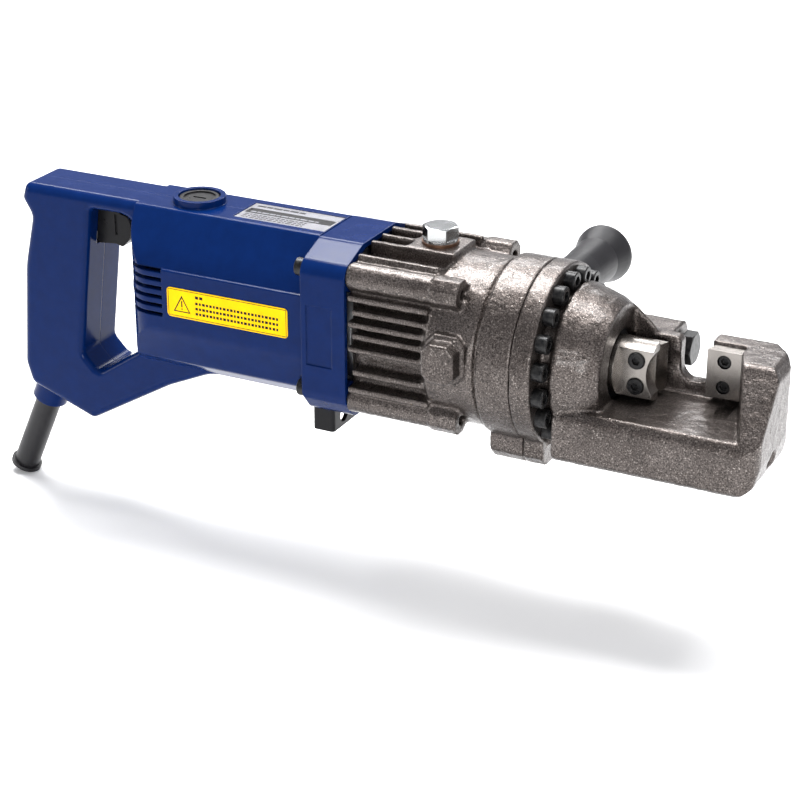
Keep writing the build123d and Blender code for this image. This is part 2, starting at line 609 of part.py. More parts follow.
def oil_plug():
    base = PAD_TOP + WASHER_T
    hexagon = RegularPolygon(PLUG_AF / 2, 6, major_radius=False, rotation=12)
    top = base + PLUG_HEAD_H
    head = extrude(Pos(PLUG_X, 0, base + 1.4) * hexagon, PLUG_HEAD_H)
    crown = [(0, base - 1), (14, base - 1), (14, top - 1.8), (PLUG_AF / 2 - 0.5, top), (0, top)]
    head = head & turned_z(crown, PLUG_X, 0)
    body = head + rod_z(base, base + 1.6, PLUG_COLLAR_R, PLUG_X, 0)
    return body + rod_z(CHAMBER_R + 4, base, PLUG_R, PLUG_X, 0)


def oil_plug_washer():
    washer = rod_z(PAD_TOP, PAD_TOP + WASHER_T, PLUG_COLLAR_R + 0.5, PLUG_X, 0)
    return washer - rod_z(PAD_TOP - 1, PAD_TOP + 3, PLUG_R + 0.2, PLUG_X, 0)


def side_handle_grip():
    base = HANDLE_BASE_Y + 0.3
    profile = [(0, base), (HANDLE_RIM_R - 1, base), (HANDLE_RIM_R, base + 1.5), (HANDLE_RIM_R, base + 5),
               (HANDLE_R + 0.4, base + 8.5), (HANDLE_R - 0.8, base + 30), (HANDLE_R - 0.8, base + 60),
               (HANDLE_R + 0.2, HANDLE_TIP_Y - 16), (HANDLE_RIM_R - 0.6, HANDLE_TIP_Y - 7),
               (HANDLE_RIM_R, HANDLE_TIP_Y - 4.5), (HANDLE_RIM_R, HANDLE_TIP_Y - 2.5),
               (HANDLE_RIM_R - 1.6, HANDLE_TIP_Y), (0, HANDLE_TIP_Y)]
    body = turned_y(profile, HANDLE_X, 0)
    return body - rod_y(base - 1, base + 45, HANDLE_STUD_R + THREAD_GAP, HANDLE_X, 0)


def side_handle_stud():
    return rod_y(HANDLE_BASE_Y - 17, HANDLE_BASE_Y + 44, HANDLE_STUD_R, HANDLE_X, 0)


# ---- Pump ----------------------------------------------------------------------------------
def involute(angle):
    return math.tan(angle) - angle


def gear_face(teeth, addendum, dedendum, backlash, turn):
    """Spur gear outline of the module at the top, with involute flanks."""
    pitch_r = MODULE * teeth / 2
    base_r = pitch_r * math.cos(math.radians(PRESSURE_ANGLE))
    tip_r = pitch_r + addendum * MODULE
    root_r = pitch_r - dedendum * MODULE
    start_r = max(base_r, root_r)
    half_pitch = math.pi / (2 * teeth) - backlash / (2 * pitch_r)
    half_base = half_pitch + involute(math.radians(PRESSURE_ANGLE))
    steps = 5
    flank = []
    for i in range(steps + 1):
        r = start_r + (tip_r - start_r) * i / steps
        a = half_base - involute(math.acos(min(1.0, base_r / r)))
        flank.append((r, a))
    relief = (0.12 / root_r) if root_r < base_r else 0.0
    points = []
    for k in range(teeth):
        mid = math.radians(turn) + 2 * math.pi * k / teeth
        points.append((root_r, mid - half_base + relief))
        points += [(r, mid - a) for r, a in flank]
        points += [(r, mid + a) for r, a in reversed(flank)]
        points.append((root_r, mid + half_base - relief))
    return make_face(Polyline(*[(r * math.cos(a), r * math.sin(a)) for r, a in points], close=True))


def gear_x(face, x0, x1, z):
    plane = Plane(origin=(x0, 0, z), x_dir=(0, 1, 0), z_dir=(1, 0, 0))
    return extrude(plane * face, x1 - x0, dir=(1, 0, 0))


def reduction_gear():
    # a gap of the gear faces the pinion, which is straight above it
    turn = 90 + 180 / GEAR_TEETH
    face = gear_face(GEAR_TEETH, 0.6, 1.25, 0.16, turn)
    body = gear_x(face, GEAR_X - GEAR_WIDTH / 2, GEAR_X + GEAR_WIDTH / 2, -CENTRE_DISTANCE)
    body -= ring_x(GEAR_X + GEAR_WIDTH / 2 - 2, GEAR_X + GEAR_WIDTH, 13.5, 9, 0, -CENTRE_DISTANCE)
    return body - rod_x(GEAR_X - 20, GEAR_X + 20, GEAR_SHAFT_R, 0, -CENTRE_DISTANCE)


def eccentric_shaft():
    z = -CENTRE_DISTANCE
    x0 = GEAR_X - GEAR_WIDTH / 2 - 0.8
    x1 = ECCENTRIC_X + ECCENTRIC_WIDTH / 2 + 8
    half = ECCENTRIC_WIDTH / 2
    body = rod_x(x0, x1, GEAR_SHAFT_R, 0, z)
    body += rod_x(BEARING_PLATE_X[1] + 1.5, ECCENTRIC_X - half, GEAR_SHAFT_R + 1.2, 0, z)
    body += rod_x(ECCENTRIC_X + half, ECCENTRIC_X + half + 1, GEAR_SHAFT_R + 1.2, 0, z)
    return body + rod_x(ECCENTRIC_X - half, ECCENTRIC_X + half, ECCENTRIC_R, 0, z + ECCENTRIC)


def eccentric_bearing():
    half = ECCENTRIC_WIDTH / 2 - 0.5
    z = -CENTRE_DISTANCE + ECCENTRIC
    return ring_x(ECCENTRIC_X - half, ECCENTRIC_X + half, ECCENTRIC_BEARING_R, ECCENTRIC_R, 0, z)


def ball_bearing(x0, x1, outer, inner, y, z):
    """Closed bearing: two races with a shallow groove for the seal on each face."""
    body = ring_x(x0, x1, outer, inner, y, z)
    mid0 = inner + (outer - inner) * 0.3
    mid1 = inner + (outer - inner) * 0.7
    body -= ring_x(x0 - 1, x0 + 0.5, mid1, mid0, y, z)
    return body - ring_x(x1 - 0.5, x1 + 1, mid1, mid0, y, z)


def gear_shaft_bearings():
    z = -CENTRE_DISTANCE
    rear = BEARING_PLATE_X[1] - BEARING_WIDTH
    front = ECCENTRIC_X + ECCENTRIC_WIDTH / 2 + 1.5
    return group(ball_bearing(rear, rear + BEARING_WIDTH, GEAR_BEARING_R, GEAR_SHAFT_R + RUNNING_FIT, 0, z),
                 ball_bearing(front, front + 6, FRONT_BEARING_R, GEAR_SHAFT_R + RUNNING_FIT, 0, z))


def bearing_plate():
    """Plate between the gears and the oil chamber: closes the chamber and holds the gear shaft."""
    x0, x1 = BEARING_PLATE_X
    body = rod_x(x0, X_CASE_REAR, CHAMBER_R + 5) + rod_x(X_CASE_REAR, x1, CHAMBER_R)
    body += rod_x(x0, x1, GEAR_BEARING_R + 3, 0, -CENTRE_DISTANCE)
    body -= rod_x(X_CASE_REAR, x1 + 1, CHAMBER_R + 20) - rod_x(X_CASE_REAR, x1 + 1, CHAMBER_R - 0.02)
    z = -CENTRE_DISTANCE
    body -= rod_x(x1 - BEARING_WIDTH, x1 + 1, GEAR_BEARING_R, 0, z)
    return body - rod_x(x0 - 1, x1, GEAR_SHAFT_R + 0.8, 0, z)


def pump_block():
    """Steel block in the oil chamber with the plunger's bore and the valve seats."""
    x0, x1 = PUMP_BLOCK_X
    z0, z1 = PUMP_BLOCK_Z
    body = block(x0, x1, -13, 13, z0, z1)
    body += block(x1 - 5, CHAMBER_FRONT_X, -13, 13, 4, z1)
    body -= rod_z(z0 - 1, z1 - 7, PLUNGER_R + RUNNING_FIT, ECCENTRIC_X, 0)
    body -= rod_z(z1 - 8, z1 + 1, 2.0, ECCENTRIC_X, 0)
    body -= rod_z(z1 - 3.4, z1 + 1, 3.4, ECCENTRIC_X, 0)
    body -= rod_y(-14, 0, 2.0, ECCENTRIC_X, z1 - 9)
    return body - rod_y(-14, -9.4, 3.4, ECCENTRIC_X, z1 - 9)


def check_balls():
    z1 = PUMP_BLOCK_Z[1]
    top = Pos(ECCENTRIC_X, 0, z1 - 0.2) * Sphere(3.0)
    side = Pos(ECCENTRIC_X, -12.6, z1 - 9) * Sphere(3.0)
    return group(top, side)


def pump_plunger():
    z1 = PUMP_BLOCK_Z[1] - 11
    body = rod_z(PLUNGER_REST_Z, z1, PLUNGER_R, ECCENTRIC_X, 0)
    return body + rod_z(PLUNGER_REST_Z + 0.6, PLUNGER_REST_Z + 2.0, PLUNGER_R + 2.6, ECCENTRIC_X, 0)


def oil_bladder():
    """Rubber bag beside the pump that takes up the oil as the ram moves."""
    x0, x1 = PUMP_BLOCK_X
    outer = rod_x(x0 + 1, x1 + 4, CHAMBER_R - 1) - rod_x(x0, x1 + 5, CHAMBER_R - 8)
    return outer & block(x0, x1 + 6, 13.6, CHAMBER_R, -12, 20)


# ---- Motor ---------------------------------------------------------------------------------
def armature_shaft():
    face = gear_face(PINION_TEETH, 1.0, 1.2, 0.16, -90)
    body = gear_x(face, GEAR_X - GEAR_WIDTH / 2 - 1, GEAR_X + GEAR_WIDTH / 2 + 1, 0)
    body += rod_x(REAR_BEARING_X - 1, GEAR_X - GEAR_WIDTH / 2 - 1, SHAFT_R)
    body += rod_x(FAN_X + FAN_T, MOTOR_PLATE_X[0] - 0.4, SHAFT_R + 2)
    return body


def armature_core():
    body = rod_x(CORE_X0, CORE_X1, CORE_R)
    slots = 12
    for i in range(slots):
        slot = block(CORE_X0 - 1, CORE_X1 + 1, -1.1, 1.1, CORE_R - 1.6, CORE_R + 2)
        body -= Rot(i * 360 / slots, 0, 0) * slot
    return body - rod_x(CORE_X0 - 1, CORE_X1 + 1, SHAFT_R)


def armature_windings():
    rear0 = BRUSH_X + COMMUTATOR_LENGTH / 2 + 1.0
    rear = turned_x([(rear0, SHAFT_R), (rear0, 12.0), (CORE_X0 - 3, CORE_R - 2.6), (CORE_X0, CORE_R - 2.6),
                     (CORE_X0, SHAFT_R)])
    front = turned_x([(CORE_X1, SHAFT_R), (CORE_X1, CORE_R - 2.6), (CORE_X1 + 5, CORE_R - 3.2),
                      (CORE_X1 + 9, 12.0), (CORE_X1 + 9, SHAFT_R)])
    return group(rear, front)


def commutator():
    x0 = BRUSH_X - COMMUTATOR_LENGTH / 2
    body = ring_x(x0, x0 + COMMUTATOR_LENGTH, COMMUTATOR_R, SHAFT_R)
    bars = 24
    for i in range(bars):
        slot = block(x0 - 1, x0 + COMMUTATOR_LENGTH + 1, -0.25, 0.25, COMMUTATOR_R - 0.8, COMMUTATOR_R + 1)
        body -= Rot(i * 360 / bars, 0, 0) * slot
    return body


def cooling_fan():
    x0, x1 = FAN_X, FAN_X + FAN_T
    body = ring_x(x1 - 1.6, x1, FAN_R, SHAFT_R) + ring_x(x0, x1, 8, SHAFT_R)
    blades = 12
    for i in range(blades):
        blade = block(x0, x1 - 1, -0.7, 0.7, 12, FAN_R - 0.6)
        body += Rot(i * 360 / blades, 0, 0) * blade
    return body


def motor_bearings():
    front = MOTOR_PLATE_X[0]
    rear = REAR_BEARING_X
    inner = SHAFT_R + RUNNING_FIT
    return group(ball_bearing(front, front + MOTOR_BEARING_W, MOTOR_BEARING_R, inner, 0, 0),
                 ball_bearing(rear, rear + MOTOR_BEARING_W, MOTOR_BEARING_R, inner, 0, 0))


def motor_plate():
    """Plate at the rear of the gear chamber that holds the motor's front bearing."""
    x0, x1 = MOTOR_PLATE_X
    body = prism_x(cover_section(-WALL - 0.05), X_COVER_REAR + 0.5, x1, COVER_RADII_INNER)
    body += rod_x(x0, x1, MOTOR_BEARING_R + 4)
    body -= rod_x(x0 - 1, x0 + MOTOR_BEARING_W, MOTOR_BEARING_R)
    for x, y in foot_screw_places():
        body -= rod_z(BODY_BOTTOM, BODY_BOTTOM + 8.4, 4.9, x, y)
    for y in (-TUBE_Y, TUBE_Y):
        for z in TUBE_Z:
            body -= rod_x(x0 - 1, x1 + 1, TUBE_R + 1.5, y, z)
    return body


def stator_core():
    body = ring_x(CORE_X0, CORE_X1, STATOR_R, STATOR_BORE_R)
    for side in (-1, 1):
        y0, y1 = sorted((side * (STATOR_R - 5.4), side * (STATOR_BORE_R - 4)))
        window = block(CORE_X0 - 1, CORE_X1 + 1, y0, y1, -8, 8)
        body -= window
    return body


def field_coils():
    coils = []
    for x0, x1 in ((CORE_X0 - 8, CORE_X0 - 0.1), (CORE_X1 + 0.1, CORE_X1 + 8)):
        coils.append(ring_x(x0, x1, STATOR_R - 2.0, STATOR_BORE_R + 1.6))
    return group(*coils)


def brush_holders():
    holders = []
    for side in (-1, 1):
        z0 = COMMUTATOR_R + 1.5
        z1 = (CAP_TOP - 9.5) if side > 0 else (-BODY_BOTTOM - 7.5)
        tube = block(BRUSH_X - 5.5, BRUSH_X + 5.5, -5.5, 5.5, z0, z1)
        tube -= block(BRUSH_X - 3.6, BRUSH_X + 3.6, -3.6, 3.6, z0 - 1, z1 + 1)
        holders.append(tube if side > 0 else Rot(180, 0, 0) * tube)
    return group(*holders)


def carbon_brushes():
    brush = block(BRUSH_X - 3.5, BRUSH_X + 3.5, -3.5, 3.5, COMMUTATOR_R + 0.15, COMMUTATOR_R + 13)
    return group(brush, Rot(180, 0, 0) * brush)


def brush_springs():
    springs = []
    for side in (-1, 1):
        z0 = COMMUTATOR_R + 13.5
        z1 = (CAP_TOP - 9.8) if side > 0 else (-BODY_BOTTOM - 7.8)
        path = Helix((z1 - z0 - 1) / 6, z1 - z0 - 1, 2.4)
        wire = Plane(origin=path @ 0, z_dir=path % 0) * Circle(0.35)
        coil = Pos(BRUSH_X, 0, z0 + 0.5) * sweep(wire, path, is_frenet=True)
        springs.append(coil if side > 0 else Rot(180, 0, 0) * coil)
    return group(*springs)


def brush_caps():
    """Slotted screw caps over the brushes: a proud one on top, a flush one below."""
    caps = []
    for side in (-1, 1):
        top = (CAP_TOP - 0.8) if side > 0 else (-BODY_BOTTOM - 0.6)
        cap = rod_z(top - 6, top, CAP_R - 0.3, BRUSH_X, 0)
        cap = chamfer(cap.edges().filter_by(GeomType.CIRCLE).sort_by(Axis.Z)[-1], 0.8)
        cap -= rod_z(top - 0.8, top + 1, CAP_R - 3.2, BRUSH_X, 0)
        cap -= block(BRUSH_X - 4.2, BRUSH_X + 4.2, -0.8, 0.8, top - 2.6, top + 1)
        caps.append(cap if side > 0 else Rot(180, 0, 0) * cap)
    return group(*caps)


# ---- Front cover ---------------------------------------------------------------------------
def cover_section(grow=0.0):
    """Cross-section of the front cover, (y, z), grown outwards by grow."""
    w = COVER_WIDTH / 2 + grow
    top = CASE_TOP + grow
    bottom = BODY_BOTTOM - grow
    return [(-w, bottom + 12), (-w + 10, bottom), (w - 10, bottom), (w, bottom + 12), (w, top - 8),
            (w - 22, top), (-w + 22, top), (-w, top - 8)]


def front_cover():
    body = prism_x(cover_section(), X_COVER_REAR, X_CASE_REAR, COVER_RADII)
    body -= prism_x(cover_section(-WALL), X_COVER_REAR - 1, X_CASE_REAR + 1, COVER_RADII_INNER)
    for y in (-TUBE_Y, TUBE_Y):
        for z in TUBE_Z:
            lug = rod_x(X_COVER_REAR, X_CASE_REAR, TUBE_R + 1.2, y, z)
            lug &= prism_x(cover_section(), X_COVER_REAR, X_CASE_REAR, COVER_RADII)
            body += lug
    side = -COVER_WIDTH / 2
    side_panel = block(X_COVER_REAR + 3, X_CASE_REAR - 8, side - 1, side + 0.7, -16, 18)
    body -= side_panel
    body -= mirror(side_panel, Plane.XZ)
    for y in (-TUBE_Y, TUBE_Y):
        for z in TUBE_Z:
            body -= rod_x(X_COVER_REAR - 1, X_CASE_REAR + 1, M6_R + 0.3, y, z)
    for x, y in foot_screw_places():
        body += rod_z(BODY_BOTTOM + WALL - 0.5, BODY_BOTTOM + 8, 4.5, x, y)
        body -= rod_z(BODY_BOTTOM - 1, BODY_BOTTOM + 9, M4_R + THREAD_GAP, x, y)
    return body


def case_screws():
    screws = []
    for y in (-TUBE_Y, TUBE_Y):
        for z in TUBE_Z:
            screws.append(socket_screw_x(X_COVER_REAR, TUBE_END_X - 6, y, z))
    return group(*screws)


# ---- Housing halves ------------------------------------------------------------------------
def housing_section(grow=0.0):
    w = BODY_WIDTH / 2 + grow
    h = HANDLE_WIDTH / 2 + grow * 0.6
    top = HANDLE_TOP + grow
    low = BODY_BOTTOM - grow
    half = [(15, low), (w - 11, -38 - grow), (w, -17), (w, 20), (w - 1.5, 20.6), (w - 4, 28), (h, top)]
    return half + [(-y, z) for y, z in reversed(half)]


def motor_shell(grow, rear_gap):
    """Motor housing, as a cross-section limited by a plan with a rounded rear."""
    x0 = X_HOUSING_REAR + rear_gap
    x1 = HOUSING_FRONT
    w = BODY_WIDTH / 2 + grow
    radii = [max(0.5, r + grow) for r in HOUSING_RADII]
    shape = prism_x(housing_section(grow), x0, x1, radii)
    plan = prism_z([(x0, -w), (x1, -w), (x1, w), (x0, w)], -70, 70, [17, 0, 0, 17])
    return shape & plan


def handle_outline(grow=0.0):
    """Side view of the handle and the body's keel, (x, z)."""
    g = grow
    rear = X_HANDLE_REAR
    front = HOUSING_FRONT
    return [(rear + 4 - g, HANDLE_TOP + g), (front, HANDLE_TOP + g), (front, BODY_BOTTOM - g),
            (X_HOUSING_REAR + 44, BODY_BOTTOM - g), (X_HOUSING_REAR + 15, -59 - g),
            (rear + 41, DROP - g), (rear - 1 - g, -75 - g), (rear - 5 - g, -62), (rear - g, 0),
            (rear + 7 - g, 30), (rear + 1 - g, 40)]


def finger_gap(grow=0.0):
    g = grow
    rear = X_HOUSING_REAR
    return [(rear - 31 + g, 40.5 - g), (rear - g, 40.5 - g), (rear - g, -38 + g * 0.6),
            (rear - 32, -59.5 + g), (rear - 42 + g, -49)]


def handle_slab(grow):
    half = HANDLE_WIDTH / 2 + grow
    return prism_y(handle_outline(grow), -half, half, [max(0, r + grow) if r else 0 for r in HANDLE_RADII])


def handle_solid():
    """Outside of the handle, its edges rounded as a grip is."""
    half = HANDLE_WIDTH / 2
    slab = prism_y(handle_outline(), -half, half, HANDLE_RADII)
    slab -= prism_y(finger_gap(), -half - 1, half + 1, GAP_RADII)
    slab = fillet(handle_rim(slab, False), HANDLE_ROUND)
    return fillet(handle_rim(slab, True), GAP_ROUND)


def handle_rim(slab, gap):
    """Edges of the handle's two flat sides: round the finger gap, or round the outside."""
    half = HANDLE_WIDTH / 2
    chosen = []
    for edge in slab.edges():
        middle = edge.center()
        flat = abs(abs(middle.Y) - half) < 0.01 and abs(edge.bounding_box().size.Y) < 0.01
        in_gap = X_HOUSING_REAR - 46 < middle.X < X_HOUSING_REAR + 1 and -62 < middle.Z < 42
        if flat and in_gap == gap and middle.X < HOUSING_FRONT - 1:
            chosen.append(edge)
    return chosen


def inner_gap_block():
    half = HANDLE_WIDTH / 2
    return prism_y(finger_gap(-WALL), -half, half, [r + 1 for r in GAP_RADII])


def housing_solid():
    outside = handle_solid() + motor_shell(0, 0)
    outside += rod_z(HANDLE_TOP - 6, CAP_TOP, CAP_BOSS_R, BRUSH_X, 0)
    bump = Pos(X_HOUSING_REAR + 8, 0, -3) * Rot(90, 0, 0) * Cylinder(17, 22)
    outside += bump
    return outside + sleeve_rod(-SOCKET_DEPTH, 0.5, SLEEVE_R + 3.0)


def housing_cavity():
    half = HANDLE_WIDTH / 2 - WALL
    slab = prism_y(handle_outline(-WALL), -half, half, [max(0, r - WALL) if r else 0 for r in HANDLE_RADII])
    slab -= inner_gap_block()
    cavity = slab + motor_shell(-WALL, WALL)
    cavity += Pos(X_HOUSING_REAR + 8, 0, -3) * Rot(90, 0, 0) * Cylinder(14, 16)
    return cavity


def sleeve_rod(t0, t1, radius):
    """Cylinder on the strain relief's axis, t measured down it from the mouth of the handle."""
    a = math.radians(SLEEVE_TILT)
    x0, z0 = X_HANDLE_REAR - 0.5, DROP + 0.5
    mid = (t0 + t1) / 2
    place = Pos(x0 - mid * math.sin(a), 0, z0 - mid * math.cos(a)) * Rot(0, SLEEVE_TILT, 0)
    return place * Cylinder(radius, t1 - t0)


def handle_screw_places():
    rear = X_HANDLE_REAR
    return [(rear + 12, 39), (rear + 17, -48), (rear + 46, -78), (X_HOUSING_REAR + 4, -47),
            (HOUSING_FRONT - 14, -39.0), (BRUSH_X + 30, 40.0), (HOUSING_FRONT - 14, 40.0)]


def nameplate_box(inset, z0, z1):
    x1 = X_COVER_REAR - 0.8
    half = 12.6
    return block(x1 - 56 + inset, x1 - inset, -half + inset, half - inset, z0, z1)


def housing_shell():
    outside = housing_solid()
    shell = outside - housing_cavity()
    ribs = rod_x(REAR_BEARING_X, REAR_BEARING_X + MOTOR_BEARING_W, MOTOR_BEARING_R + 3)
    ribs += block(REAR_BEARING_X, REAR_BEARING_X + 2.5, -60, 60, -60, 60)
    for x in (CORE_X0 + 3, CORE_X1 - 6):
        rib = block(x, x + 3, -60, 60, -60, 60) - rod_x(x - 1, x + 4, STATOR_R + 0.02)
        ribs += rib
    for x, z in handle_screw_places():
        ribs += rod_y(-60, 60, BOSS_R, x, z)
    ribs += sleeve_rod(-SOCKET_DEPTH, 0.5, SLEEVE_R + 3.0)
    ribs += rod_z(14, HANDLE_TOP, 8.6, BRUSH_X, 0) + rod_z(BODY_BOTTOM, -14, 8.6, BRUSH_X, 0)
    ribs += rod_z(CAP_TOP - 12, CAP_TOP, CAP_BOSS_R, BRUSH_X, 0)
    ribs += rod_z(BODY_BOTTOM, BODY_BOTTOM + 11, CAP_BOSS_R, BRUSH_X, 0)
    shell += ribs & outside
    shell -= rod_x(REAR_BEARING_X, REAR_BEARING_X + MOTOR_BEARING_W + 1, MOTOR_BEARING_R)
    shell -= rod_x(REAR_BEARING_X - 2, REAR_BEARING_X + 1, SHAFT_R + 2)
    shell -= rod_x(REAR_BEARING_X + MOTOR_BEARING_W, CORE_X0, COMMUTATOR_R + 2.6)
    shell -= block(BRUSH_X - 5.52, BRUSH_X + 5.52, -5.52, 5.52, -HANDLE_TOP, HANDLE_TOP)
    for z0, z1 in ((CAP_TOP - 7.2, CAP_TOP + 1), (-80, BODY_BOTTOM + 6.8)):
        shell -= rod_z(z0, z1, CAP_R - 0.25, BRUSH_X, 0)
    shell -= rod_z(-80, BODY_BOTTOM, CAP_R + 0.6, BRUSH_X, 0)
    shell -= nameplate_box(0, HANDLE_TOP - 0.9, HANDLE_TOP + 1)
    shell -= sleeve_rod(-40, 40, SLEEVE_R + 0.05)
    for x, z in handle_screw_places():
        shell -= rod_y(-12, HANDLE_SCREW_SEAT + 1, M4_R + THREAD_GAP, x, z)
        shell -= rod_y(HANDLE_SCREW_SEAT, 60, M4_HEAD_R + 0.3, x, z)
    for i in range(VENTS):
        z = VENT_Z + i * VENT_PITCH
        for side in (-1, 1):
            y0, y1 = sorted((side * 13, side * 60))
            shell -= block(X_HOUSING_REAR - 12, X_HOUSING_REAR + 26, y0, y1, z, z + 2.3)
    for y in (-TUBE_Y, TUBE_Y):
        for z in TUBE_Z:
            shell -= rod_x(X_COVER_REAR - M6_HEAD_H - 2, X_COVER_REAR + 1, M6_HEAD_R + 0.6, y, z)
    shell -= trigger_pocket()
    return shell


def trigger_pocket():
    x0 = X_HOUSING_REAR - 42.0
    return block(x0, x0 + 14, -TRIGGER_WIDTH / 2 - 0.4, TRIGGER_WIDTH / 2 + 0.4, 16.6, 40.5)


def trigger():
    x = X_HOUSING_REAR - 33.0
    points = [(x, 39.9), (x + 15.0, 39.9), (x + 15.0, 36.8), (x + 20.4, 35.6), (x + 22.4, 31),
              (x + 21.0, 22), (x + 16.5, 17.2), (x + 12.0, 18.6), (x, 17.4)]
    body = prism_y(points, -TRIGGER_WIDTH / 2, TRIGGER_WIDTH / 2, [1, 0.8, 0.8, 3, 6, 4, 2, 3, 1])
    slot = block(x + 11.8, x + 13.4, -20, 20, 24, 36)
    slot &= block(x, x + 30, -TRIGGER_WIDTH / 2 - 1, -TRIGGER_WIDTH / 2 + 0.9, 0, 50) + block(
        x, x + 30, TRIGGER_WIDTH / 2 - 0.9, TRIGGER_WIDTH / 2 + 1, 0, 50)
    return body - slot


def switch_body():
    x1 = SWITCH_FRONT
    body = block(x1 - 15, x1, -8, 8, 14, 38)
    body += block(x1 - 11, x1 - 8, -3, 3, 9, 14) + block(x1 - 6, x1 - 3, -3, 3, 9, 14)
    return body


def trigger_spring():
    x0 = SWITCH_FRONT + 0.55
    x1 = X_HOUSING_REAR - 33.0 - 0.55
    path = Helix((x1 - x0) / 4, x1 - x0, 3.2)
    wire = Plane(origin=path @ 0, z_dir=path % 0) * Circle(0.45)
    return Pos(x0, 0, 28) * Rot(0, 90, 0) * sweep(wire, path, is_frenet=True)


def half_housing(side):
    cut = block(-400, 10, 0, 100, -200, 200) if side > 0 else block(-400, 10, -100, 0, -200, 200)
    return cut


def handle_screws():
    screws = []
    for x, z in handle_screw_places():
        screw = rod_y(HANDLE_SCREW_SEAT, HANDLE_SCREW_SEAT + 2.8, M4_HEAD_R, x, z)
        screw += rod_y(-11, HANDLE_SCREW_SEAT, M4_R, x, z)
        cross = block(x - 2, x + 2, HANDLE_SCREW_SEAT + 1.4, HANDLE_SCREW_SEAT + 4, z - 0.5, z + 0.5)
        cross += block(x - 0.5, x + 0.5, HANDLE_SCREW_SEAT + 1.4, HANDLE_SCREW_SEAT + 4, z - 2, z + 2)
        screws.append(screw - cross)
    return group(*screws)


def side_label():
    x1 = X_COVER_REAR - 11.0
    x0 = x1 - 75.4
    y = -BODY_WIDTH / 2
    points = [(x0, -5.8), (x1, -5.8), (x1, 11.2), (x0, 11.2)]
    return prism_y(points, y - 0.35, y, [2.2] * 4)


def nameplate():
    return nameplate_box(0.3, HANDLE_TOP - 0.9, HANDLE_TOP - 0.3)


def strain_relief():
    lip = SLEEVE_R + 1.6
    body = sleeve_rod(-SOCKET_DEPTH - 4, SLEEVE_LENGTH, SLEEVE_R)
    body += sleeve_rod(SLEEVE_LENGTH - 2.4, SLEEVE_LENGTH, lip)
    body += sleeve_rod(-SOCKET_DEPTH - 4, -SOCKET_DEPTH - 0.1, SLEEVE_R + 1)
    return body - sleeve_rod(-40, SLEEVE_LENGTH + 1, CORD_BORE_R)


def cable_clamp():
    x = X_HANDLE_REAR + 20.5
    body = block(x, x + 12, -HANDLE_WIDTH / 2 + WALL, HANDLE_WIDTH / 2 - WALL, -66, -60)
    return body - rod_x(x - 1, x + 13, CORD_BORE_R, 0, -66)


# ---- Foot ----------------------------------------------------------------------------------
def foot_screw_places():
    x = (FOOT_X[0] + FOOT_X[1]) / 2
    return [(x, -18), (x, 18)]


def foot_bracket():
    x0, x1 = FOOT_X
    t = 2.4
    body = block(x0, x1, -FOOT_HALF, FOOT_HALF, FOOT_BOTTOM, BODY_BOTTOM)
    vertical = [e for e in body.edges() if abs(e.bounding_box().size.Z) > 5]
    body = fillet(vertical, 2.0)
    body -= block(x0 + t, x1 - t, -FOOT_HALF + t, FOOT_HALF - t, FOOT_BOTTOM - 1, BODY_BOTTOM - t)
    body -= rod_x(x1 - t - 1, x1 + 1, 4.4, -15, (FOOT_BOTTOM + BODY_BOTTOM) / 2 - 0.4)
    triangle = [(-6, FOOT_BOTTOM + 3), (6, FOOT_BOTTOM + 3), (6, BODY_BOTTOM - 3.4)]
    body -= prism_x(triangle, x1 - t - 1, x1 + 1, [0.8] * 3)
    body -= rod_x(x1 - t - 1, x1 + 1, 4.4, 17, (FOOT_BOTTOM + BODY_BOTTOM) / 2 - 0.4)
    for x, y in foot_screw_places():
        body -= rod_z(BODY_BOTTOM - 5, BODY_BOTTOM + 1, 2.2, x, y)
    return body


def foot_screws():
    screws = []
    for x, y in foot_screw_places():
        top = BODY_BOTTOM - 2.4
        screws.append(rod_z(top - 2.6, top, 3.6, x, y) + rod_z(top, BODY_BOTTOM + 6.5, M4_R, x, y))
    return group(*screws)


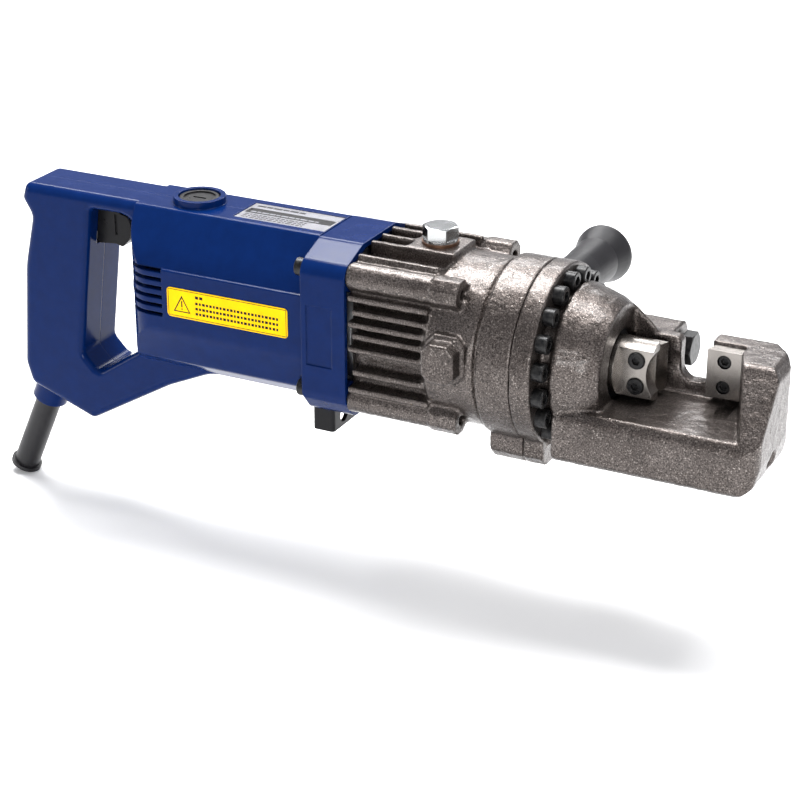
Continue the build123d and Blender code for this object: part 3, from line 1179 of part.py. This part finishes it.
# ---- Write every piece ---------------------------------------------------------------------
def main():
    shell = housing_shell()
    pieces = {
        "cutter_head": cutter_head(),
        "flange_screws": flange_screws(),
        "head_seal": head_seal(),
        "ram": ram(),
        "piston_seal": piston_seal(),
        "rod_wiper": rod_wiper(),
        "return_spring": return_spring(),
        "moving_blade": moving_blade(),
        "moving_blade_screws": moving_blade_screws(),
        "fixed_blade": fixed_blade(),
        "fixed_blade_screws": fixed_blade_screws(),
        "stopper_bolt": stopper_bolt(),
        "pump_case": pump_case(),
        "oil_plug": oil_plug(),
        "oil_plug_washer": oil_plug_washer(),
        "side_handle_grip": side_handle_grip(),
        "side_handle_stud": side_handle_stud(),
        "bearing_plate": bearing_plate(),
        "pump_block": pump_block(),
        "pump_plunger": pump_plunger(),
        "check_balls": check_balls(),
        "oil_bladder": oil_bladder(),
        "eccentric_shaft": eccentric_shaft(),
        "eccentric_bearing": eccentric_bearing(),
        "gear_shaft_bearings": gear_shaft_bearings(),
        "reduction_gear": reduction_gear(),
        "motor_plate": motor_plate(),
        "motor_bearings": motor_bearings(),
        "armature_shaft": armature_shaft(),
        "armature_core": armature_core(),
        "armature_windings": armature_windings(),
        "commutator": commutator(),
        "cooling_fan": cooling_fan(),
        "stator_core": stator_core(),
        "field_coils": field_coils(),
        "brush_holders": brush_holders(),
        "carbon_brushes": carbon_brushes(),
        "brush_springs": brush_springs(),
        "brush_caps": brush_caps(),
        "front_cover": front_cover(),
        "case_screws": case_screws(),
        "right_housing_half": shell & half_housing(-1),
        "left_housing_half": shell & half_housing(1),
        "handle_screws": handle_screws(),
        "nameplate": nameplate(),
        "side_label": side_label(),
        "trigger": trigger(),
        "trigger_spring": trigger_spring(),
        "switch_body": switch_body(),
        "strain_relief": strain_relief(),
        "cable_clamp": cable_clamp(),
        "foot_bracket": foot_bracket(),
        "foot_screws": foot_screws(),
    }
    for name, shape in pieces.items():
        save(name, shape)


if __name__ == "__main__":
    main()
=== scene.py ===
import bmesh
import bpy
import json
import math
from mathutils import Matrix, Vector, noise


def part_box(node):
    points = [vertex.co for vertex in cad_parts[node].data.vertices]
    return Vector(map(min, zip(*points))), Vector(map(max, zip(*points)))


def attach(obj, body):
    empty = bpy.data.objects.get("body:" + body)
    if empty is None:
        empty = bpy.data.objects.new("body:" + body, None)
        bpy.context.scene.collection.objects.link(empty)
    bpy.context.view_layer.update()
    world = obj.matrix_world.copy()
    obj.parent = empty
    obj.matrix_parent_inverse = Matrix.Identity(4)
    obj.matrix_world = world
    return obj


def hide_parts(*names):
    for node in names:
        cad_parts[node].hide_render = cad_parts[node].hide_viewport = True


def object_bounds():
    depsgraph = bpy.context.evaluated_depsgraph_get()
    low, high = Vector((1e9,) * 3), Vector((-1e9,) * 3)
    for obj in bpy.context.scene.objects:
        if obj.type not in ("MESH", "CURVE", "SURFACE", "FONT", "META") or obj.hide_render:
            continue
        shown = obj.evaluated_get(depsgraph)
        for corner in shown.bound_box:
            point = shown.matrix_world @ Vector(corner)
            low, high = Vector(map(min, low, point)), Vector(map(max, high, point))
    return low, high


MM = 0.001

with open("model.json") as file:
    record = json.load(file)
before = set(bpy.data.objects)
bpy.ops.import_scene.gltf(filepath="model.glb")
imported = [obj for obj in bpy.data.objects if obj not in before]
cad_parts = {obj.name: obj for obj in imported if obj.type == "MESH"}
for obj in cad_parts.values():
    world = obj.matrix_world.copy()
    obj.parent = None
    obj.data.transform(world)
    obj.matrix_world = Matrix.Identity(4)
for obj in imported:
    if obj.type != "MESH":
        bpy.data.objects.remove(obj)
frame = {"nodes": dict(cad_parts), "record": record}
cad_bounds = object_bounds()
NODES = frame["nodes"]
BODIES = frame["record"]["behaviour"]["bodies"]
BODY_OF = {node: body for body, nodes in BODIES.items() for node in nodes}


# ---- Node helpers --------------------------------------------------------------------------
class Look:
    """One procedural material, built up from a Principled shader."""

    def __init__(self, name, metallic=0.0, coat=0.0, coat_rough=0.1, specular=0.5):
        self.material = bpy.data.materials.new(name)
        self.material.use_nodes = True
        self.tree = self.material.node_tree
        self.shader = self.tree.nodes["Principled BSDF"]
        self.shader.inputs["Metallic"].default_value = metallic
        self.shader.inputs["Coat Weight"].default_value = coat
        self.shader.inputs["Coat Roughness"].default_value = coat_rough
        self.shader.inputs["Specular IOR Level"].default_value = specular
        self.place = self.add("ShaderNodeTexCoord").outputs["Object"]

    def add(self, kind, links=None, **values):
        node = self.tree.nodes.new(kind)
        for key, value in values.items():
            if hasattr(node, key):
                setattr(node, key, value)
            else:
                node.inputs[key.replace("_", " ")].default_value = value
        for key, source in (links or {}).items():
            self.tree.links.new(source, node.inputs[key])
        return node

    def link(self, source, socket):
        self.tree.links.new(source, self.shader.inputs[socket])

    def stretched(self, scale):
        return self.add("ShaderNodeMapping", {"Vector": self.place}, Scale=scale).outputs["Vector"]

    def noise(self, size_mm, detail=3.0, rough=0.5, place=None):
        """Noise from 0 to 1 whose lumps are about size_mm across."""
        node = self.add("ShaderNodeTexNoise", {"Vector": place or self.place},
                        Scale=1000.0 / size_mm, Detail=detail, Roughness=rough)
        return node.outputs["Fac"]

    def spread(self, value, low, high, to_low=0.0, to_high=1.0):
        node = self.add("ShaderNodeMapRange", {"Value": value})
        for key, number in zip(("From Min", "From Max", "To Min", "To Max"), (low, high, to_low, to_high)):
            node.inputs[key].default_value = number
        return node.outputs["Result"]

    def mix(self, factor, first, second):
        """Colour between two; each is a colour or another node's output."""
        node = self.add("ShaderNodeMix", data_type="RGBA")
        self.tree.links.new(factor, node.inputs["Factor"])
        for key, colour in (("A", first), ("B", second)):
            socket = [s for s in node.inputs if s.name == key and s.type == "RGBA"][0]
            if isinstance(colour, tuple):
                socket.default_value = (*colour, 1.0)
            else:
                self.tree.links.new(colour, socket)
        return [s for s in node.outputs if s.type == "RGBA"][0]

    def maths(self, operation, first, second):
        node = self.add("ShaderNodeMath", operation=operation)
        for socket, value in zip(node.inputs, (first, second)):
            if isinstance(value, (int, float)):
                socket.default_value = value
            else:
                self.tree.links.new(value, socket)
        return node.outputs["Value"]

    def rounded_edges(self, radius_mm):
        """Normals rounded over the edges, and a mask that is 1 on an edge."""
        soft = self.add("ShaderNodeBevel", samples=6, Radius=radius_mm * MM).outputs["Normal"]
        true = self.add("ShaderNodeNewGeometry").outputs["Normal"]
        product = self.add("ShaderNodeVectorMath", operation="DOT_PRODUCT")
        self.tree.links.new(soft, product.inputs[0])
        self.tree.links.new(true, product.inputs[1])
        return soft, self.spread(product.outputs["Value"], 0.97, 0.72)

    def bump(self, height, depth_mm, normal):
        node = self.add("ShaderNodeBump", {"Height": height, "Normal": normal}, Distance=depth_mm * MM)
        return node.outputs["Normal"]


def moulded(name, colour, rough, worn, grain_mm=0.7, grain_depth=0.02, edge_mm=0.5, specular=0.5):
    """Injection-moulded plastic: fine grain, faint scuffs, and edges rubbed lighter."""
    look = Look(name, specular=specular)
    normal, edge = look.rounded_edges(edge_mm)
    scuff = look.noise(9.0, 5.0, 0.6)
    fine = look.noise(grain_mm, 2.0)
    rubbed = look.maths("MULTIPLY", edge, look.spread(look.noise(4.0, 4.0), 0.42, 0.66))
    tint = look.mix(look.spread(scuff, 0.35, 0.7), colour, tuple(c * 1.18 for c in colour))
    look.link(look.mix(rubbed, tint, worn), "Base Color")
    look.link(look.spread(scuff, 0.3, 0.75, rough * 0.8, rough * 1.35), "Roughness")
    look.link(look.bump(fine, grain_depth, normal), "Normal")
    return look.material


def cast_metal():
    """Sand casting under a brown-grey metallic lacquer: gritty, with painted glints on its grain and
    painted shade in its pits.
    """
    look = Look("cast_body", metallic=0.85, coat=0.35, coat_rough=0.22)
    normal, edge = look.rounded_edges(0.8)
    lumps = look.noise(2.6, 3.0, 0.55)
    grit = look.noise(0.8, 3.0, 0.65)
    stain = look.noise(24.0, 4.0, 0.6)
    base = look.mix(look.spread(stain, 0.35, 0.68), (0.074, 0.060, 0.054), (0.132, 0.112, 0.103))
    # painted shade: where the grit runs low, in the pits of its bump, the colour goes nearly black
    pit_shaded = look.mix(look.spread(grit, 0.36, 0.54), (0.018, 0.014, 0.012), base)
    # painted highlight: where the grit runs high, bright speckles are painted on as glints
    glint = look.mix(look.spread(grit, 0.60, 0.72), pit_shaded, (0.42, 0.38, 0.35))
    bare = look.maths("MULTIPLY", edge, look.spread(look.noise(3.0, 4.0), 0.36, 0.62))
    look.link(look.mix(bare, glint, (0.46, 0.43, 0.40)), "Base Color")
    look.link(look.spread(grit, 0.3, 0.7, 0.44, 0.26), "Roughness")
    broad = look.bump(lumps, 0.34, normal)
    look.link(look.bump(grit, 0.20, broad), "Normal")
    return look.material


def ground_metal(name, colour, rough, along, line_depth=0.012, edge_mm=0.25):
    """Ground or turned metal: fine lines at right angles to the long axis of `along`."""
    look = Look(name, metallic=1.0)
    normal, edge = look.rounded_edges(edge_mm)
    lines = look.noise(1.0, 2.0, 0.6, look.stretched(along))
    stain = look.noise(7.0, 4.0, 0.6)
    tint = look.mix(look.spread(stain, 0.35, 0.7), colour, tuple(c * 0.80 for c in colour))
    look.link(look.mix(edge, tint, tuple(min(1.0, c * 1.25) for c in colour)), "Base Color")
    look.link(look.spread(lines, 0.3, 0.7, rough * 0.75, rough * 1.3), "Roughness")
    look.link(look.bump(lines, line_depth, normal), "Normal")
    return look.material


def black_oxide():
    look = Look("black_steel", metallic=0.5, coat=0.12, coat_rough=0.2, specular=0.3)
    normal, edge = look.rounded_edges(0.3)
    blotch = look.noise(2.2, 4.0, 0.6)
    base = look.mix(look.spread(blotch, 0.4, 0.7), (0.008, 0.008, 0.009), (0.030, 0.029, 0.028))
    look.link(look.mix(edge, base, (0.13, 0.125, 0.12)), "Base Color")
    look.link(look.spread(blotch, 0.3, 0.75, 0.24, 0.5), "Roughness")
    look.link(look.bump(look.noise(0.8, 3.0), 0.03, normal), "Normal")
    return look.material


def rubber(name, colour, rough=0.5):
    look = Look(name, specular=0.28)
    normal, edge = look.rounded_edges(0.5)
    dust = look.noise(12.0, 5.0, 0.65)
    look.link(look.mix(look.spread(dust, 0.4, 0.75), colour, tuple(c * 1.5 for c in colour)), "Base Color")
    look.link(look.spread(dust, 0.3, 0.75, rough * 0.85, rough * 1.2), "Roughness")
    look.link(look.bump(look.noise(0.5, 2.0), 0.03, normal), "Normal")
    return look.material


def make_looks():
    rings = (60.0, 4.0, 4.0)
    return {
        "cast_body": cast_metal(),
        "black_steel": black_oxide(),
        "ground_steel": ground_metal("ground_steel", (0.30, 0.278, 0.258), 0.25, (4.0, 4.0, 60.0)),
        "machined_steel": ground_metal("machined_steel", (0.55, 0.55, 0.56), 0.26, rings),
        "spring_steel": ground_metal("spring_steel", (0.36, 0.36, 0.38), 0.33, rings),
        "laminations": ground_metal("laminations", (0.27, 0.27, 0.28), 0.42, (40.0, 1.0, 1.0), 0.05),
        "zinc": ground_metal("zinc", (0.60, 0.61, 0.61), 0.15, (6.0, 6.0, 6.0), 0.006),
        "bare_aluminium": ground_metal("bare_aluminium", (0.62, 0.63, 0.64), 0.36, (9.0, 9.0, 9.0), 0.05),
        "copper": ground_metal("copper", (0.17, 0.095, 0.062), 0.34, rings, 0.04),
        "brass_parts": ground_metal("brass_parts", (0.78, 0.58, 0.26), 0.28, rings),
        "seal_rubber": rubber("seal_rubber", (0.012, 0.012, 0.013), 0.42),
        "black_rubber": rubber("black_rubber", (0.010, 0.0095, 0.011), 0.40),
        "black_plastic": moulded("black_plastic", (0.005, 0.005, 0.006), 0.32, (0.03, 0.03, 0.032),
                                 grain_mm=0.5, grain_depth=0.03, specular=0.16),
        "blue_plastic": moulded("blue_plastic", (0.0010, 0.0120, 0.073), 0.15, (0.004, 0.022, 0.11),
                                grain_mm=1.3, grain_depth=0.005, edge_mm=0.9, specular=0.09),
        "silver_label": ground_metal("silver_label", (0.24, 0.24, 0.26), 0.36, (50.0, 3.0, 3.0), 0.004),
        "yellow_label": moulded("yellow_label", (0.93, 0.55, 0.002), 0.40, (0.95, 0.60, 0.02),
                                grain_mm=0.6, grain_depth=0.004, edge_mm=0.2, specular=0.06),
    }


LOOKS = make_looks()


def dress_nodes():
    for part in frame["record"]["subparts"]:
        mesh = NODES[part["node"]].data
        mesh.materials.clear()
        mesh.materials.append(LOOKS[part["material_slot"]])


# ---- Meshes --------------------------------------------------------------------------------
LUMP_MM = 5.5            # width and depth of a casting's broad lumps
LUMP_DEPTH_MM = 0.22
GRIT_MM = 1.9            # width and depth of its sand grain
GRIT_DEPTH_MM = 0.12
HEAD_CELL_MM = 0.95      # sizes of the remesh cells
CASE_CELL_MM = 0.9
WELD_MM = 0.002          # vertices nearer than this are one


def add_piece(name, mesh, node, slot):
    """A new object that rides with a CAD node and has a slot's finish."""
    piece = bpy.data.objects.new(name, mesh)
    bpy.context.scene.collection.objects.link(piece)
    mesh.materials.clear()
    mesh.materials.append(LOOKS[slot])
    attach(piece, BODY_OF[node])
    return piece


def with_modifiers(mesh, steps):
    """The mesh after a list of (modifier type, settings)."""
    holder = bpy.data.objects.new("holder", mesh)
    bpy.context.scene.collection.objects.link(holder)
    for kind, settings in steps:
        modifier = holder.modifiers.new(kind.lower(), kind)
        for key, value in settings.items():
            setattr(modifier, key, value)
    graph = bpy.context.evaluated_depsgraph_get()
    graph.update()
    result = bpy.data.meshes.new_from_object(holder.evaluated_get(graph))
    bpy.data.objects.remove(holder)
    return result


def welded(node):
    """A copy of a CAD node's mesh with its split edges joined."""
    mesh = NODES[node].data.copy()
    work = bmesh.new()
    work.from_mesh(mesh)
    bmesh.ops.remove_doubles(work, verts=work.verts, dist=WELD_MM * MM)
    work.to_mesh(mesh)
    work.free()
    return mesh


def inside(point, boxes):
    return any(all(low[i] < point[i] < high[i] for i in range(3)) for low, high in boxes)


def grown_box(node, by_mm):
    low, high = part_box(node)
    edge = Vector((by_mm, by_mm, by_mm)) * MM
    return low - edge, high + edge


def casting(node, cell_mm, soften, kept_flat):
    """The node's own shape with softened corners and the lumpy skin of a sand casting.

    The skin stays smooth inside the kept_flat boxes, where machined pieces seat.
    """
    mesh = with_modifiers(welded(node), [
        ("REMESH", {"mode": "VOXEL", "voxel_size": cell_mm * MM}),
        ("SMOOTH", {"factor": 0.5, "iterations": soften}),
    ])
    offsets = []
    for vertex in mesh.vertices:
        if inside(vertex.co, kept_flat):
            continue
        at = vertex.co / MM
        lump = noise.noise(at / LUMP_MM) * LUMP_DEPTH_MM + noise.noise(at / GRIT_MM) * GRIT_DEPTH_MM
        offsets.append((vertex.index, vertex.normal * lump * MM))
    for index, offset in offsets:
        mesh.vertices[index].co += offset
    for face in mesh.polygons:
        face.use_smooth = True
    piece = add_piece(node + "_casting", mesh, node, "cast_body")
    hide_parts(node)


def make_castings():
    machined = [grown_box("moving_blade", 1.0), grown_box("fixed_blade", 1.0), grown_box("ram", 0.5)]
    casting("cutter_head", HEAD_CELL_MM, 3, machined)
    casting("pump_case", CASE_CELL_MM, 2, [grown_box("oil_plug_washer", 2.0)])


# ---- Labels --------------------------------------------------------------------------------
ALONG = Vector((1, 0, 0))
OVER = Vector((0, 1, 0))
UP = Vector((0, 0, 1))
INK_MM = 0.04            # thickness of the print
TOP_INK_MM = 0.07        # print that lies on other print
DASH_GAP_MM = 0.7
BORDER_MM = 0.7          # the side label's frame, in from its edge
BORDER_WIDTH_MM = 0.35
MARGIN_MM = 3.0          # the nameplate's rows, in from its end


def raised(name, outlines, corner, across, up, depth_mm, node, slot):
    """Thin printed shapes on a flat face; each outline holds (mm across, mm up) points."""
    work = bmesh.new()
    out = across.cross(up)
    for outline in outlines:
        rings = []
        for height in (0.0, depth_mm):
            rings.append([work.verts.new(corner + (across * u + up * v + out * height) * MM)
                          for u, v in outline])
        bottom, top = rings
        work.faces.new(top)
        work.faces.new(bottom[::-1])
        for i in range(len(outline)):
            j = (i + 1) % len(outline)
            work.faces.new((bottom[i], bottom[j], top[j], top[i]))
    mesh = bpy.data.meshes.new(name)
    work.to_mesh(mesh)
    work.free()
    add_piece(name, mesh, node, slot)


def bar(u0, u1, v0, v1):
    """The outline of a rectangle."""
    return [(u0, v0), (u1, v0), (u1, v1), (u0, v1)]


def frame_bars(u0, u1, v0, v1, width):
    """Four bars that make a rectangular frame."""
    return [bar(u0, u1, v0, v0 + width), bar(u0, u1, v1 - width, v1),
            bar(u0, u0 + width, v0 + width, v1 - width), bar(u1 - width, u1, v0 + width, v1 - width)]


def dashes(u0, u1, v, height, pattern):
    """A row of dashes from u0 to u1; their lengths in mm repeat the pattern."""
    row = []
    u = u0
    step = 0
    while u + pattern[step % len(pattern)] < u1:
        length = pattern[step % len(pattern)]
        row.append(bar(u, u + length, v, v + height))
        u += length + DASH_GAP_MM
        step += 1
    return row


def warning_triangle():
    """Three mitred sides round an upright bar and a dot."""
    foot, inner_foot = (4.0, 3.4), (5.0, 4.0)
    far_foot, inner_far_foot = (14.8, 3.4), (13.8, 4.0)
    top, inner_top = (9.4, 13.2), (9.4, 11.6)
    return [[foot, inner_foot, inner_top, top], [top, inner_top, inner_far_foot, far_foot],
            [foot, far_foot, inner_far_foot, inner_foot],
            bar(9.0, 9.8, 6.4, 10.0), bar(9.0, 9.8, 4.9, 5.7)]


def print_side_label():
    low, high = (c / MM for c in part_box("side_label"))
    corner = low * MM
    long, tall = high.x - low.x, high.z - low.z
    ink = frame_bars(BORDER_MM, long - BORDER_MM, BORDER_MM, tall - BORDER_MM, BORDER_WIDTH_MM)
    for v in (3.2, 6.2, 9.2):
        ink += dashes(18.0, long - 4.0, v, 1.5, (1.6, 1.3, 1.8, 1.4, 1.6, 1.2))
    ink += dashes(18.0, 24.0, 12.6, 1.7, (2.0,))
    ink += warning_triangle()
    raised("side_label_print", ink, corner, ALONG, UP, INK_MM, "side_label", "black_plastic")


def print_nameplate():
    low, high = (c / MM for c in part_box("nameplate"))
    corner = Vector((low.x, low.y, high.z)) * MM
    long, wide = high.x - low.x, high.y - low.y
    band = [bar(1.2, long - 1.2, 9.6, wide - 7.6)]
    raised("nameplate_band", band, corner, ALONG, OVER, INK_MM, "nameplate", "black_plastic")
    marks = []
    for v in (2.0, 4.4, 6.8):
        marks += dashes(MARGIN_MM, long - 14.0, v, 1.2, (2.2, 1.4, 3.0, 1.8))
    marks += dashes(MARGIN_MM, long * 0.6, wide - 4.6, 2.0, (5.2, 3.6))
    raised("nameplate_print", marks, corner, ALONG, OVER, INK_MM, "nameplate", "black_plastic")
    light = dashes(4.0, long - 6.0, 11.0, 1.6, (3.4, 2.2, 4.2))
    raised("nameplate_light_print", light, corner, ALONG, OVER, TOP_INK_MM, "nameplate", "silver_label")


# ---- Studio --------------------------------------------------------------------------------
TARGET = Vector((-0.1699, 0.0, -0.0460))
CAMERA_DISTANCE = 1.1948
CAMERA_AZIMUTH = 26.74
CAMERA_ELEVATION = 24.08
LENS = 98.5
WORLD_COLOUR = (0.95, 0.96, 1.0, 1.0)
WORLD_STRENGTH = 0.55
FLOOR_HALF = 6.0

# name, azimuth and elevation in degrees, distance, width and height in metres, power in watts
LIGHTS = (
    ("overhead_box", 185, 78, 1.5, 1.5, 0.55, 42),
    ("back_box", 206, 36, 1.6, 1.2, 0.25, 11),
    ("shoulder_box", 229, 57, 1.6, 0.5, 0.35, 13),
    ("front_box", -66, 14, 1.7, 0.5, 0.5, 5),
    ("camera_box", 20, 12, 1.6, 0.5, 0.4, 9),
    ("side_box", 96, 20, 1.5, 0.4, 0.9, 3),
)


def direction(azimuth, elevation):
    """Unit vector; azimuth 0 points along -Y and 90 along +X."""
    a, e = math.radians(azimuth), math.radians(elevation)
    return Vector((math.sin(a) * math.cos(e), -math.cos(a) * math.cos(e), math.sin(e)))


def aim(obj, place, target):
    obj.location = place
    obj.rotation_euler = (target - place).to_track_quat("-Z", "Y").to_euler()


def make_camera():
    data = bpy.data.cameras.new("camera")
    data.lens = LENS
    data.sensor_width = 36.0
    data.clip_start = 0.01
    camera = bpy.data.objects.new("camera", data)
    bpy.context.scene.collection.objects.link(camera)
    aim(camera, TARGET + direction(CAMERA_AZIMUTH, CAMERA_ELEVATION) * CAMERA_DISTANCE, TARGET)
    bpy.context.scene.camera = camera


def soft_light(name, azimuth, elevation, distance, width, height, power):
    data = bpy.data.lights.new(name, "AREA")
    data.shape = "RECTANGLE"
    data.size = width
    data.size_y = height
    data.energy = power
    light = bpy.data.objects.new(name, data)
    bpy.context.scene.collection.objects.link(light)
    aim(light, TARGET + direction(azimuth, elevation) * distance, TARGET)


def make_studio():
    for light in LIGHTS:
        soft_light(*light)
    world = bpy.data.worlds.new("studio")
    world.use_nodes = True
    world.node_tree.nodes["Background"].inputs["Color"].default_value = WORLD_COLOUR
    world.node_tree.nodes["Background"].inputs["Strength"].default_value = WORLD_STRENGTH
    bpy.context.scene.world = world
    bpy.context.scene.view_settings.view_transform = "Standard"


def make_floor():
    mesh = bpy.data.meshes.new("floor")
    corners = [(FLOOR_HALF * x, FLOOR_HALF * y, 0) for x, y in ((-1, -1), (1, -1), (1, 1), (-1, 1))]
    mesh.from_pydata(corners, [], [(0, 1, 2, 3)])
    floor = bpy.data.objects.new("floor", mesh)
    floor.location.z = cad_bounds[0][2]
    bpy.context.scene.collection.objects.link(floor)
    look = Look("floor_paint")
    tone = look.noise(400.0, 2.0)
    look.link(look.mix(tone, (0.88, 0.88, 0.88), (0.90, 0.90, 0.90)), "Base Color")
    look.shader.inputs["Roughness"].default_value = 0.7
    mesh.materials.append(look.material)


dress_nodes()
make_castings()
print_side_label()
print_nameplate()
make_camera()
make_studio()
make_floor()
